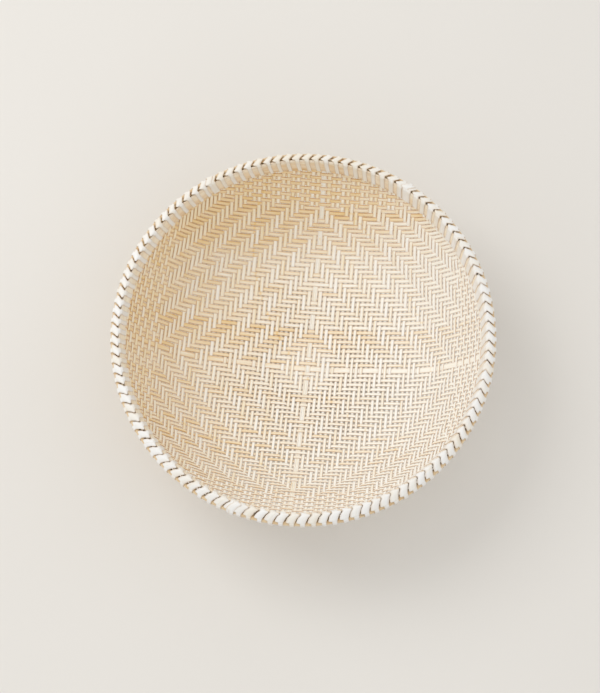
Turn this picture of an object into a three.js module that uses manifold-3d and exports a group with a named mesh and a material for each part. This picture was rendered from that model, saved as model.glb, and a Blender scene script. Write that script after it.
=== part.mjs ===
// Zaru: a round kitchen basket of woven split bamboo with a lashed rim. Millimetres, +Z up.
// The basket stands on its flat bottom and its axis is the Z axis.
//
// The woven body is one shell here: its strips are too many to be bodies of their own, apart from
// the wide warp and the wide weft that cross at the middle of the bottom. Its twill shows as rings of
// diamonds on both sides of the shell. At the rim, the body's edge is held between two bent hoops. A
// flat strip winds round all three in a running wrap, and each wrap goes through a slot of its own in
// the body, just under the inner hoop.

import * as THREE from "three";
import { mergeVertices } from "three/addons/utils/BufferGeometryUtils.js";
import Module from "manifold-3d";

const wasm = await Module();
wasm.setup();

const { degToRad } = THREE.MathUtils;

// Fits
const SEAT_GAP = 0.3; // between pieces that lie on each other
const CUT_OVERRUN = 1; // how far a cutter stands out of what it cuts

// Woven body: the middle of its wall is a disc, a cone and four bends, from the axis to the lip
const BODY_THICKNESS = 1.4;
const BOTTOM_RADIUS = 16;
const HEEL_BEND = 60;
const FLOOR_SLOPE = degToRad(13);
const FLOOR_RADIUS = 79.5;
const KNEE_BEND = 60;
const KNEE_SLOPE = degToRad(46);
const LOWER_WALL_BEND = 168;
const WAIST_SLOPE = degToRad(60);
const UPPER_WALL_BEND = 86;
const LIP_SLOPE = degToRad(84);

// Wide strips at the middle of the weave: the warp lies along Y and crosses over the weft
const WIDE_STRIP_WIDTH = 5;
const WIDE_STRIP_THICKNESS = 0.5;
const WIDE_STRIP_SEAT = 0.5; // from the crests of the twill to the back of a wide strip
const WARP_OFFSET = 2.6;
const WEFT_OFFSET = -4;
const CROSSING_RAMP = 4; // length in which the warp climbs over the weft
const WEAVE_TURN = degToRad(-7.3);

// Twill round the crossing of the wide strips: each float passes as many strips as a cell spans
const WARP_PITCH = 4.03;
const WEFT_PITCH = 3.94;
const FLOAT_STRIPS = 3;
const TWILL_DIP = 0.5; // on each side of the body, between the rings of diamonds
const TWILL_WARPS = 32; // to each side of the wide warp; the plain bands lie beyond
const TWILL_WEFTS_UP = 35;
const TWILL_WEFTS_DOWN = 30;

// Hoops: a drop is a length down the wall from the body's lip
const INNER_HOOP_HEIGHT = 15;
const INNER_HOOP_THICKNESS = 1.8;
const OUTER_HOOP_DROP = 1.5;
const OUTER_HOOP_HEIGHT = 9;
const OUTER_HOOP_BELLY = 3.8; // thickness at half height
const OUTER_HOOP_EDGE = 2.9; // thickness at the top and foot
const SCARF_SLOPE = degToRad(12); // of the slanting joint between a hoop's two ends
const INNER_SCARF_TURN = degToRad(100);
const OUTER_SCARF_TURN = degToRad(-80);

// Lashing: its pieces lie end to end and make one wrap after another
const LASHING_PIECES = 5;
const WRAPS_PER_PIECE = 23;
const LASHING_WIDTH = 4.2;
const LASHING_THICKNESS = 0.6;
const GAP_SAMPLES = 4; // points to an edge, for measuring the gap between wraps

// How far a wrap has moved on along the rim at each corner, as a share of the pitch
const OUTSIDE_SHARE = 0;
const LIP_SHARE = 0.2;
const INNER_TOP_SHARE = 0.55;
const INNER_FOOT_SHARE = 0.2;
const SLOT_SHARE = 0.4;

const WRAPS = LASHING_PIECES * WRAPS_PER_PIECE;
const PITCH_TURN = (2 * Math.PI) / WRAPS;
const HALF_BODY = BODY_THICKNESS / 2;
const HOOP_SEAT = HALF_BODY + SEAT_GAP; // from the middle of the wall to the back of a hoop
const INNER_FACE = -HOOP_SEAT - INNER_HOOP_THICKNESS;
const SLOT_HEIGHT = LASHING_THICKNESS + 2 * SEAT_GAP;
const CELL_WIDTH = FLOAT_STRIPS * WARP_PITCH;
const CELL_HEIGHT = FLOAT_STRIPS * WEFT_PITCH;

const material = (color, roughness) => new THREE.MeshStandardMaterial({ color, roughness, metalness: 0 });

const straight = (length, slope) => ({ length, slope, curl: 0 });

const bend = (radius, slope, nextSlope) => ({
  length: radius * (nextSlope - slope),
  slope,
  curl: 1 / radius,
});

const bottom = straight(BOTTOM_RADIUS, 0);
const heel = bend(HEEL_BEND, 0, FLOOR_SLOPE);
const heelRadius = BOTTOM_RADIUS + HEEL_BEND * Math.sin(FLOOR_SLOPE);
const floor = straight((FLOOR_RADIUS - heelRadius) / Math.cos(FLOOR_SLOPE), FLOOR_SLOPE);
const knee = bend(KNEE_BEND, FLOOR_SLOPE, KNEE_SLOPE);
const lowerWall = bend(LOWER_WALL_BEND, KNEE_SLOPE, WAIST_SLOPE);
const upperWall = bend(UPPER_WALL_BEND, WAIST_SLOPE, LIP_SLOPE);
const aboveLip = straight(Infinity, LIP_SLOPE);
const stretches = [bottom, heel, floor, knee, lowerWall, upperWall, aboveLip];

const belowKnee = bottom.length + heel.length + floor.length;
const lip = belowKnee + knee.length + lowerWall.length + upperWall.length;
const underSlots = lip - INNER_HOOP_HEIGHT - SLOT_HEIGHT - SEAT_GAP;
const twillReach = underSlots - WEFT_PITCH;

// Radius, height and slope of the middle of the wall at a length along it.
function wallAt(along) {
  let radius = 0;
  let height = HALF_BODY;
  let slope = 0;
  let left = along;
  for (const stretch of stretches) {
    const length = Math.min(left, stretch.length);
    const halfTurn = (stretch.curl * length) / 2;
    const chord = halfTurn > 0 ? (length * Math.sin(halfTurn)) / halfTurn : length;
    radius += chord * Math.cos(stretch.slope + halfTurn);
    height += chord * Math.sin(stretch.slope + halfTurn);
    slope = stretch.slope + 2 * halfTurn;
    left -= length;
    if (left <= 0) break;
  }
  return { radius, height, slope };
}

// A point at a distance out from the middle of the wall, as x = radius and y = height.
function wallPoint(along, out) {
  const { radius, height, slope } = wallAt(along);
  return new THREE.Vector2(radius + out * Math.sin(slope), height - out * Math.cos(slope));
}

// A frame on the wall at a drop below the lip: X along the rim, Y up the wall and Z out of it.
function wallFrame(turn, drop, out) {
  const { slope } = wallAt(lip - drop);
  const point = wallPoint(lip - drop, out);
  const spin = new THREE.Matrix4().makeRotationZ(turn);
  const tangent = new THREE.Vector3(0, 1, 0);
  const up = new THREE.Vector3(Math.cos(slope), 0, Math.sin(slope));
  const frame = new THREE.Matrix4().makeBasis(tangent, up, tangent.clone().cross(up));
  return spin.multiply(frame.setPosition(point.x, 0, point.y));
}

function toSolid(geometry) {
  const plain = geometry.clone().deleteAttribute("normal").deleteAttribute("uv");
  const merged = mergeVertices(plain);
  return new wasm.Manifold(
    new wasm.Mesh({
      numProp: 3,
      vertProperties: merged.attributes.position.array,
      triVerts: new Uint32Array(merged.index.array),
    }),
  );
}

function toGeometry(solid) {
  const { numProp, numVert, vertProperties, triVerts } = solid.getMesh();
  const positions = new Float32Array(numVert * 3);
  for (let i = 0; i < numVert; i += 1) {
    positions.set(vertProperties.subarray(i * numProp, i * numProp + 3), i * 3);
  }
  const geometry = new THREE.BufferGeometry();
  geometry.setAttribute("position", new THREE.BufferAttribute(positions, 3));
  geometry.setIndex(new THREE.BufferAttribute(triVerts, 1));
  geometry.computeVertexNormals();
  return geometry;
}

// A body of revolution about Z, with one facet to each wrap of the lashing.
const turned = (profile) => new THREE.LatheGeometry(profile, WRAPS).rotateX(Math.PI / 2);

const cutterUnion = (cutters) => cutters.map(toSolid).reduce((all, cutter) => all.add(cutter));

// Corners of a wrap, in order: up the outer hoop, over the top, down the inner hoop and out again
// through the body. Each has its place on what the wrap lies on, and its share of the pitch.
const wrapCorners = [
  { drop: OUTER_HOOP_DROP + OUTER_HOOP_HEIGHT / 2, out: HOOP_SEAT + OUTER_HOOP_BELLY, share: OUTSIDE_SHARE },
  { drop: OUTER_HOOP_DROP, out: HOOP_SEAT + OUTER_HOOP_EDGE, share: OUTSIDE_SHARE },
  { drop: 0, out: HALF_BODY, share: LIP_SHARE },
  { drop: 0, out: INNER_FACE, share: INNER_TOP_SHARE },
  { drop: INNER_HOOP_HEIGHT, out: INNER_FACE, share: INNER_FOOT_SHARE },
  { drop: INNER_HOOP_HEIGHT, out: HALF_BODY, share: SLOT_SHARE },
  { drop: OUTER_HOOP_DROP + OUTER_HOOP_HEIGHT, out: HOOP_SEAT + OUTER_HOOP_EDGE, share: 1 + OUTSIDE_SHARE },
];
const slotCorner = wrapCorners.length - 2;

const pitch = wallAt(lip).radius * PITCH_TURN;

// The edge that arrives at a corner: its direction, its side away from the hoops, and its slant.
function edgeTo(index) {
  const corner = wrapCorners[index];
  const before = wrapCorners.at(index - 1);
  const direction = new THREE.Vector2(corner.drop - before.drop, corner.out - before.out);
  const shareStep = corner.share - before.share + (index === 0 ? 1 : 0);
  const length = direction.length();
  direction.normalize();
  return {
    length,
    away: new THREE.Vector2(direction.y, -direction.x),
    slant: Math.atan2(Math.abs(shareStep) * pitch, length),
  };
}

// A corner pushed away from what the wrap lies on, mitred between its two edges.
function pushedCorner(index, distance) {
  const before = edgeTo(index).away;
  const after = edgeTo((index + 1) % wrapCorners.length).away;
  const push = before.clone().add(after).multiplyScalar(distance / (1 + before.dot(after)));
  return { drop: wrapCorners[index].drop + push.x, out: wrapCorners[index].out + push.y };
}

// The strip keeps its width across its own run, so it is wider along the rim where it slants.
function widthAlongRim(index) {
  const slant = (edgeTo(index).slant + edgeTo((index + 1) % wrapCorners.length).slant) / 2;
  return LASHING_WIDTH / Math.cos(slant);
}

const { length: throughLength } = edgeTo(slotCorner);
const throughShare = SLOT_SHARE - INNER_FOOT_SHARE;
const slotShare = SLOT_SHARE - (throughShare * HALF_BODY) / throughLength;
const slotShift = (pitch * throughShare * BODY_THICKNESS) / throughLength;

// The turn of the first wrap puts each slot in the middle of a facet.
const firstTurn = -Math.PI / 2 + PITCH_TURN * (1 / 2 - slotShare);

// Four points of the lashing strip where a wrap passes a corner: two on its back, two on its face.
function stripSection(wrap, index) {
  const turn = firstTurn + (wrap + wrapCorners[index].share) * PITCH_TURN;
  const half = widthAlongRim(index) / 2;
  const sidePoint = (distance, side) => {
    const { drop, out } = pushedCorner(index, distance);
    return new THREE.Vector3(side, 0, 0).applyMatrix4(wallFrame(turn, drop, out));
  };
  const back = SEAT_GAP;
  const face = SEAT_GAP + LASHING_THICKNESS;
  return [sidePoint(back, half), sidePoint(back, -half), sidePoint(face, -half), sidePoint(face, half)];
}

// One piece of lashing, from the middle of the outer hoop to where the next piece starts.
function lashingSections(piece) {
  const sections = [];
  const firstWrap = piece * WRAPS_PER_PIECE;
  for (let wrap = firstWrap; wrap < firstWrap + WRAPS_PER_PIECE; wrap += 1) {
    wrapCorners.forEach((_, index) => sections.push(stripSection(wrap, index)));
  }
  const beforeEnd = sections.at(-1);
  const end = stripSection(firstWrap + WRAPS_PER_PIECE, 0);
  const gapShare = SEAT_GAP / end[0].distanceTo(beforeEnd[0]);
  sections.push(end.map((point, i) => point.clone().lerp(beforeEnd[i], gapShare)));
  return sections;
}

// A closed strip through sections that have as many points each.
function stripThrough(sections) {
  const sides = sections[0].length;
  const indices = [];
  const quad = (a, b, c, d) => indices.push(a, b, c, a, c, d);
  sections.slice(1).forEach((_, step) => {
    for (let side = 0; side < sides; side += 1) {
      const here = step * sides;
      const there = here + sides;
      const next = (side + 1) % sides;
      quad(here + side, here + next, there + next, there + side);
    }
  });
  const last = (sections.length - 1) * sides;
  quad(3, 2, 1, 0);
  quad(last, last + 1, last + 2, last + 3);
  const geometry = new THREE.BufferGeometry().setFromPoints(sections.flat());
  geometry.setIndex(indices);
  geometry.computeVertexNormals();
  return geometry;
}

// The least distance from one wrap of a piece to the next, on points along the strip's four edges.
function leastGap(sections) {
  const rows = [];
  sections.slice(1).forEach((section, step) => {
    for (let sample = 0; sample < GAP_SAMPLES; sample += 1) {
      rows.push(section.map((point, i) => sections[step][i].clone().lerp(point, sample / GAP_SAMPLES)));
    }
  });
  const halfWrap = (wrapCorners.length * GAP_SAMPLES) / 2;
  let least = Infinity;
  rows.forEach((row, i) => {
    rows.slice(i + halfWrap, i + 3 * halfWrap).forEach((other) => {
      row.forEach((point) => other.forEach((far) => (least = Math.min(least, point.distanceTo(far)))));
    });
  });
  return least;
}

function lashing(piece) {
  const sections = lashingSections(piece);
  console.log(`lashing_strip_${piece + 1}: least gap to itself ${leastGap(sections).toFixed(2)} mm`);
  return stripThrough(sections);
}

function slotCutter(wrap) {
  const width = widthAlongRim(slotCorner) + slotShift + 2 * SEAT_GAP;
  const depth = BODY_THICKNESS + 2 * CUT_OVERRUN;
  const turn = firstTurn + (wrap + slotShare) * PITCH_TURN;
  const box = new THREE.BoxGeometry(width, SLOT_HEIGHT, depth);
  return box.applyMatrix4(wallFrame(turn, INNER_HOOP_HEIGHT + SLOT_HEIGHT / 2, 0));
}

// A spot is a place on the wall as if it were laid out flat: its direction from the axis, times its
// length along the wall. This is the corner of the twill's cells a column and a row from the centre.
function cornerSpot(column, row) {
  const spot = new THREE.Vector2(WARP_OFFSET + column * CELL_WIDTH, WEFT_OFFSET + row * CELL_HEIGHT);
  return spot.rotateAround(new THREE.Vector2(), WEAVE_TURN);
}

// Every second ring of corners dips, so that the rings between them stand out as diamonds.
function dips(column, row) {
  const wefts = row > 0 ? TWILL_WEFTS_UP : TWILL_WEFTS_DOWN;
  const inTwill = Math.abs(column) * FLOAT_STRIPS < TWILL_WARPS && Math.abs(row) * FLOAT_STRIPS < wefts;
  return inTwill && (Math.abs(column) + Math.abs(row)) % 2 === 1;
}

// The body laid out flat: its spots, which of them dip, and its triangles.
class Sheet {
  spots = [];
  dipped = [];
  triangles = [];
  corners = new Map();
  openEdges = new Map();

  addSpot(spot, dipped = false) {
    this.dipped.push(dipped);
    return this.spots.push(spot) - 1;
  }

  corner(column, row) {
    const name = `${column},${row}`;
    if (!this.corners.has(name)) {
      this.corners.set(name, this.addSpot(cornerSpot(column, row), dips(column, row)));
    }
    return this.corners.get(name);
  }

  // A face as corner numbers; an edge stays open until a face on its other side closes it.
  addFace(...face) {
    this.triangles.push(face);
    face.forEach((from, i) => {
      const to = face[(i + 1) % face.length];
      if (this.openEdges.get(to)?.delete(from)) return;
      if (!this.openEdges.has(from)) this.openEdges.set(from, new Set());
      this.openEdges.get(from).add(to);
    });
  }

  // The edge of what is laid so far, as a loop that starts at the smallest turn.
  edge() {
    const next = (from) => [...this.openEdges.get(from)][0];
    const starts = [...this.openEdges.keys()].filter((from) => this.openEdges.get(from).size > 0);
    starts.sort((a, b) => this.turn(a) - this.turn(b));
    const loop = [starts[0]];
    while (next(loop.at(-1)) !== starts[0]) loop.push(next(loop.at(-1)));
    return loop;
  }

  turn(index) {
    return this.spots[index].angle();
  }

  // A ring of spots at a length along the wall, one where each facet of the hoops starts.
  ring(along) {
    const turns = Array.from({ length: WRAPS }, (_, k) => -Math.PI / 2 + k * PITCH_TURN);
    const spots = turns.map((turn) => new THREE.Vector2(along, 0).rotateAround(new THREE.Vector2(), turn));
    spots.sort((a, b) => a.angle() - b.angle());
    return spots.map((spot) => this.addSpot(spot));
  }

  // Triangles between two loops, always to whichever next spot has the smaller turn.
  zip(inner, outer) {
    const at = (loop, i) => loop[i % loop.length];
    const turnAt = (loop, i) => this.turn(at(loop, i)) + (i >= loop.length ? 2 * Math.PI : 0);
    let i = 0;
    let o = 0;
    while (i < inner.length || o < outer.length) {
      const outerNext = turnAt(outer, o + 1) < turnAt(inner, i + 1);
      if (i === inner.length || (o < outer.length && outerNext)) {
        this.addFace(at(inner, i), at(outer, o), at(outer, o + 1));
        o += 1;
      } else {
        this.addFace(at(inner, i), at(outer, o), at(inner, i + 1));
        i += 1;
      }
    }
  }
}

// Cells of the twill that lie inside its reach, each in two triangles that meet along a ring.
function layTwill(sheet) {
  const columns = Math.ceil(twillReach / CELL_WIDTH);
  const rows = Math.ceil(twillReach / CELL_HEIGHT);
  for (let column = -columns; column < columns; column += 1) {
    for (let row = -rows; row < rows; row += 1) {
      const places = [[column, row], [column + 1, row], [column + 1, row + 1], [column, row + 1]];
      if (places.some((place) => cornerSpot(...place).length() > twillReach)) continue;
      const [a, b, c, d] = places.map((place) => sheet.corner(...place));
      const ringsFall = (column >= 0) === (row >= 0);
      if (ringsFall) sheet.addFace(a, b, d);
      if (ringsFall) sheet.addFace(b, c, d);
      if (!ringsFall) sheet.addFace(a, b, c);
      if (!ringsFall) sheet.addFace(a, c, d);
    }
  }
}

// A point of the body's inside, where side is -1, or of its outside, where side is 1.
function bodyPoint(spot, dipped, side) {
  const along = spot.length();
  const onStand = side > 0 && along <= bottom.length;
  const point = wallPoint(along, side * (HALF_BODY - (dipped && !onStand ? TWILL_DIP : 0)));
  const way = spot.clone().normalize();
  return new THREE.Vector3(way.x * point.x, way.y * point.x, point.y);
}

function wovenBody() {
  const sheet = new Sheet();
  layTwill(sheet);
  const underRing = sheet.ring(underSlots);
  const lipRing = sheet.ring(lip);
  sheet.zip(sheet.edge(), underRing);
  sheet.zip(underRing, lipRing);

  const count = sheet.spots.length;
  const pointsOf = (side) => sheet.spots.map((spot, i) => bodyPoint(spot, sheet.dipped[i], side));
  const points = [...pointsOf(-1), ...pointsOf(1)];
  const faces = sheet.triangles.flatMap(([a, b, c]) => [a, b, c, a + count, c + count, b + count]);
  lipRing.forEach((here, i) => {
    const next = lipRing[(i + 1) % lipRing.length];
    faces.push(here, here + count, next + count, here, next + count, next);
  });
  const shell = new THREE.BufferGeometry().setFromPoints(points);
  shell.setIndex(faces);
  const slots = Array.from({ length: WRAPS }, (_, wrap) => slotCutter(wrap));
  return toGeometry(toSolid(shell).subtract(cutterUnion(slots)));
}

// A hoop from its section, as points of drop and distance out, with a scarf joint at a turn.
function hoop(section, scarfTurn) {
  const profile = [...section, section[0]].map((corner) => wallPoint(lip - corner.x, corner.y));
  const bounds = new THREE.Box2().setFromPoints(section);
  const size = bounds.getSize(new THREE.Vector2());
  const middle = bounds.getCenter(new THREE.Vector2());
  const sawLength = (2 * size.y) / Math.sin(SCARF_SLOPE);
  const saw = new THREE.BoxGeometry(sawLength, size.x + 2 * CUT_OVERRUN, SEAT_GAP);
  saw.rotateY(SCARF_SLOPE).applyMatrix4(wallFrame(scarfTurn, middle.x, middle.y));
  return toGeometry(toSolid(turned(profile)).subtract(toSolid(saw)));
}

function innerHoop() {
  const section = [
    new THREE.Vector2(INNER_HOOP_HEIGHT, -HOOP_SEAT),
    new THREE.Vector2(0, -HOOP_SEAT),
    new THREE.Vector2(0, INNER_FACE),
    new THREE.Vector2(INNER_HOOP_HEIGHT, INNER_FACE),
  ];
  return hoop(section, INNER_SCARF_TURN);
}

function outerHoop() {
  const foot = OUTER_HOOP_DROP + OUTER_HOOP_HEIGHT;
  const section = [
    new THREE.Vector2(foot, HOOP_SEAT + OUTER_HOOP_EDGE),
    new THREE.Vector2(OUTER_HOOP_DROP + OUTER_HOOP_HEIGHT / 2, HOOP_SEAT + OUTER_HOOP_BELLY),
    new THREE.Vector2(OUTER_HOOP_DROP, HOOP_SEAT + OUTER_HOOP_EDGE),
    new THREE.Vector2(OUTER_HOOP_DROP, HOOP_SEAT),
    new THREE.Vector2(foot, HOOP_SEAT),
  ];
  return hoop(section, OUTER_SCARF_TURN);
}

// Lengths along the wall of the twill's corners on one side of a wide strip, out to the slots.
function stripStations(offset, crossing, cell, side) {
  const alongAt = (number) => Math.hypot(offset, crossing + side * number * cell);
  const stations = [];
  while (alongAt(stations.length + 1) < twillReach) stations.push(alongAt(stations.length + 1));
  return [...stations, underSlots];
}

// A wide strip lies on the inside of the body, along X, from under one side of the rim to the other,
// and bends where the twill's cells do. It crosses the other wide strip at a place along X. Its lift
// is a list of places along it, each with a height above its seat.
function wideStrip(offset, crossing, cell, lift) {
  const farEdge = Math.abs(offset) + WIDE_STRIP_WIDTH / 2;
  const edgePoints = (side, out) =>
    stripStations(offset, crossing, cell, side).map((along) => {
      const point = wallPoint(along, out);
      return new THREE.Vector2(side * Math.sqrt(point.x ** 2 - farEdge ** 2), point.y);
    });
  const seat = BODY_THICKNESS + WIDE_STRIP_SEAT;
  const back = -HALF_BODY - WIDE_STRIP_SEAT;
  const middle = (raise) => lift.map(([place, height]) => new THREE.Vector2(place, seat + raise + height));
  const surface = (out, raise) => [
    ...edgePoints(-1, out).reverse(),
    ...middle(raise),
    ...edgePoints(1, out),
  ];
  const under = surface(back, 0);
  const top = surface(back - WIDE_STRIP_THICKNESS, WIDE_STRIP_THICKNESS).reverse();
  const geometry = new THREE.ExtrudeGeometry(new THREE.Shape([...under, ...top]), {
    depth: WIDE_STRIP_WIDTH,
    bevelEnabled: false,
  });
  return geometry.translate(0, 0, -WIDE_STRIP_WIDTH / 2).rotateX(Math.PI / 2);
}

function wideWeft() {
  return wideStrip(WEFT_OFFSET, WARP_OFFSET, CELL_WIDTH, []).translate(0, WEFT_OFFSET, 0);
}

// The warp climbs over the weft where they cross.
function wideWarp() {
  const level = WIDE_STRIP_THICKNESS + SEAT_GAP;
  const flat = WIDE_STRIP_WIDTH / 2 + SEAT_GAP;
  const lift = [
    [WEFT_OFFSET - flat - CROSSING_RAMP, 0],
    [WEFT_OFFSET - flat, level],
    [WEFT_OFFSET + flat, level],
    [WEFT_OFFSET + flat + CROSSING_RAMP, 0],
  ];
  const strip = wideStrip(WARP_OFFSET, WEFT_OFFSET, CELL_HEIGHT, lift);
  return strip.rotateZ(Math.PI / 2).translate(WARP_OFFSET, 0, 0);
}

const piece = (name, geometry, look) => {
  const mesh = new THREE.Mesh(geometry, look);
  mesh.name = name;
  return mesh;
};

const weave = new THREE.Group();
weave.rotation.z = WEAVE_TURN;
weave.add(piece("wide_center_warp", wideWarp(), material(0xf1e9d8, 0.55)));
weave.add(piece("wide_center_weft", wideWeft(), material(0xe6d2a4, 0.58)));

const rim = new THREE.Group();
rim.add(piece("inner_hoop", innerHoop(), material(0xd0b27c, 0.6)));
rim.add(piece("outer_hoop", outerHoop(), material(0xc69e60, 0.5)));
for (let index = 0; index < LASHING_PIECES; index += 1) {
  rim.add(piece(`lashing_strip_${index + 1}`, lashing(index), material(0xf4eee3, 0.48)));
}

const basket = new THREE.Group();
basket.add(piece("woven_bowl", wovenBody(), material(0xe9dcbc, 0.62)), weave, rim);

export default basket;
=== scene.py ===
from math import cos, pi, radians, sin, tan

import bpy
import numpy as np
from mathutils import Matrix


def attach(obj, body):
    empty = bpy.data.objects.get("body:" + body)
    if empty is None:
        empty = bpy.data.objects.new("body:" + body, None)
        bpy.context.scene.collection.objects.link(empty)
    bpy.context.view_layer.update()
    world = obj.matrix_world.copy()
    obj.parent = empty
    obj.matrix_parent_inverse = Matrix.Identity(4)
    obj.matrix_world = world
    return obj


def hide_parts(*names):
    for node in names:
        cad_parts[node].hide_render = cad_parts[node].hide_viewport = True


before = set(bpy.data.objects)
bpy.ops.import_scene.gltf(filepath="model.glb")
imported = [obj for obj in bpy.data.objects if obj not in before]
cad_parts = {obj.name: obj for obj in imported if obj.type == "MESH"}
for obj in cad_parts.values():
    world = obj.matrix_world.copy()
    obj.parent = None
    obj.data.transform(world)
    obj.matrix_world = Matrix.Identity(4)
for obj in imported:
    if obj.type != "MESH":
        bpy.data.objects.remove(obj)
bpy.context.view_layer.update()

rng = np.random.default_rng(11)

# Lengths are in millimetres until a mesh is made, and angles are in radians.
METRES = 0.001
TINY = 1e-9

# The wall's profile, as in the part's source: arcs and lines from the middle of the bottom.
BODY_THICKNESS = 1.4
HALF_BODY = BODY_THICKNESS / 2
BOTTOM_RADIUS = 16.0
HEEL_BEND = 60.0
FLOOR_SLOPE = radians(13)
FLOOR_RADIUS = 79.5
KNEE_BEND = 60.0
KNEE_SLOPE = radians(46)
LOWER_WALL_BEND = 168.0
WAIST_SLOPE = radians(60)
UPPER_WALL_BEND = 86.0
LIP_SLOPE = radians(84)
BEYOND_LIP = 1000.0

# The hoops, as in the part's source, and how far the outer one stands off the wall at the front.
HOOP_SEAT = HALF_BODY + 0.3
INNER_HOOP_HEIGHT = 15.0
INNER_HOOP_THICKNESS = 1.8
INNER_FACE = -(HOOP_SEAT + INNER_HOOP_THICKNESS)
OUTER_HOOP_DROP = 1.5
OUTER_HOOP_HEIGHT = 9.0
OUTER_FOOT = OUTER_HOOP_DROP + OUTER_HOOP_HEIGHT
OUTER_MIDDLE = OUTER_HOOP_DROP + OUTER_HOOP_HEIGHT / 2
OUTER_HOOP_BELLY = 3.8
OUTER_HOOP_EDGE = 2.9
HOOP_EDGE = HOOP_SEAT + OUTER_HOOP_EDGE
HOOP_BELLY = HOOP_SEAT + OUTER_HOOP_BELLY
FRONT_SLACK = 1.7

# The weave: pitches along the surface, and how the net of crossings lies on the bowl.
COLUMN_PITCH = 4.03
ROW_PITCH = 3.94
WIDE_COLUMN = 5.08
WIDE_ROW = 4.94
WEAVE_TURN = radians(-7.282)
WARP_SHEAR = radians(1.575)
CENTRE_X = 2.557
CENTRE_Y = -3.699
COLUMNS_EACH_WAY = 49
ROWS_UP = 52
ROWS_DOWN = 50

# The twill goes three over and three under, as far as these columns and rows from the centre.
TWILL_REPEAT = 6
TWILL_FLOAT = 3
TWILL_PHASE = 2
TWILL_COLUMNS = 32
TWILL_TOP_ROW = 35
TWILL_BOTTOM_ROW = 30

# The net is solved by Newton's method.
SOLVER_ROUNDS = 6
SOLVER_NUDGE = 1e-4
SOLVER_STEP = 3.0
LEAST_DETERMINANT = 1e-3
LEAST_SINE_SQUARED = 0.05

# Tables of the profile and of the sections through the centre: how far they go, and their points.
PROFILE_REACH, PROFILE_POINTS = 400.0, 8001
SECTION_REACH, SECTION_POINTS = 170.0, 3401


# ---- small helpers

def unit(vectors):
    return vectors / np.linalg.norm(vectors, axis=-1, keepdims=True)


def running_total(steps):
    return np.concatenate([[0], np.cumsum(steps)])


def running_length(points):
    return running_total(np.linalg.norm(np.diff(points, axis=0), axis=-1))


def interp_rows(at, table):
    """Rows of a table, interpolated at fractions of its row numbers."""
    base = np.arange(len(table))
    return np.stack([np.interp(at, base, column) for column in table.T], -1)


def bezier(start, corner, end, t):
    return (1 - t) ** 2 * start + 2 * t * (1 - t) * corner + t ** 2 * end


def reach_of(spots):
    return np.hypot(spots[..., 0], spots[..., 1])


# ---- the wall and the net on it

HEEL_END = BOTTOM_RADIUS + HEEL_BEND * sin(FLOOR_SLOPE)
# each piece of the profile: its length, its slope at the start, and its curvature
CHAIN = [
    (BOTTOM_RADIUS, 0.0, 0.0),
    (HEEL_BEND * FLOOR_SLOPE, 0.0, 1 / HEEL_BEND),
    ((FLOOR_RADIUS - HEEL_END) / cos(FLOOR_SLOPE), FLOOR_SLOPE, 0.0),
    (KNEE_BEND * (KNEE_SLOPE - FLOOR_SLOPE), FLOOR_SLOPE, 1 / KNEE_BEND),
    (LOWER_WALL_BEND * (WAIST_SLOPE - KNEE_SLOPE), KNEE_SLOPE, 1 / LOWER_WALL_BEND),
    (UPPER_WALL_BEND * (LIP_SLOPE - WAIST_SLOPE), WAIST_SLOPE, 1 / UPPER_WALL_BEND),
    (BEYOND_LIP, LIP_SLOPE, 0.0),
]
LIP = sum(step[0] for step in CHAIN[:-1])


def wall(along):
    """Radius, height and slope of the wall's middle at lengths along the profile."""
    along = np.asarray(along, float)
    radius = np.zeros_like(along)
    height = np.full_like(along, HALF_BODY)
    slope = np.zeros_like(along)
    left = along.copy()
    for length, start, curl in CHAIN:
        part = np.clip(left, 0, length)
        half = curl * part / 2
        chord = part * np.sinc(half / pi)
        radius += chord * np.cos(start + half)
        height += chord * np.sin(start + half)
        slope = np.where(left > 0, start + 2 * half, slope)
        left = left - part
    return radius, height, slope


RIM_RADIUS = wall(LIP)[0]


def on_wall(spots, lift=0.0):
    """Points of the bowl, lifted inwards. A spot is a direction times a length on the profile."""
    along = reach_of(spots)
    way = spots / np.maximum(along, TINY)[..., None]
    radius, height, slope = wall(along)
    radius = radius - lift * np.sin(slope)
    height = height + lift * np.cos(slope)
    return np.stack([way[..., 0] * radius, way[..., 1] * radius, height], -1)


def inward(spots):
    """The bowl's unit normal on its inside."""
    return on_wall(spots, 1.0) - on_wall(spots)


def rim_point(turn, drop, out):
    """Points near the rim: drop down the wall from the lip, out from its middle."""
    radius, height, slope = wall(LIP - np.asarray(drop, float))
    reach = radius + out * np.sin(slope)
    return np.stack([reach * np.cos(turn), reach * np.sin(turn), height - out * np.cos(slope)], -1)


def slack(turn):
    """How far the outer hoop stands off the wall: most at the front."""
    return FRONT_SLACK * ((1 - np.sin(turn)) / 2) ** 3


PROFILE = np.linspace(0, PROFILE_REACH, PROFILE_POINTS)
PROFILE_RADIUS = wall(PROFILE)[0]


def centre_line(stations, across, sign):
    """Spots on a straight section through the centre crossing, at lengths along the surface."""
    reach = np.linspace(0, SECTION_REACH, SECTION_POINTS)
    if across:
        x, y = CENTRE_X + sign * reach, np.full_like(reach, CENTRE_Y)
    else:
        y = CENTRE_Y + sign * reach
        x = CENTRE_X + (y - CENTRE_Y) * tan(WARP_SHEAR)
    height = wall(np.interp(np.hypot(x, y), PROFILE_RADIUS, PROFILE))[1]
    steps = np.sqrt(np.diff(x) ** 2 + np.diff(y) ** 2 + np.diff(height) ** 2)
    length = running_total(steps)
    x, y = np.interp(stations, length, x), np.interp(stations, length, y)
    radius = np.hypot(x, y)
    along = np.interp(radius, PROFILE_RADIUS, PROFILE)
    return np.stack([x, y], -1) * (along / np.maximum(radius, TINY))[:, None]


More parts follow.
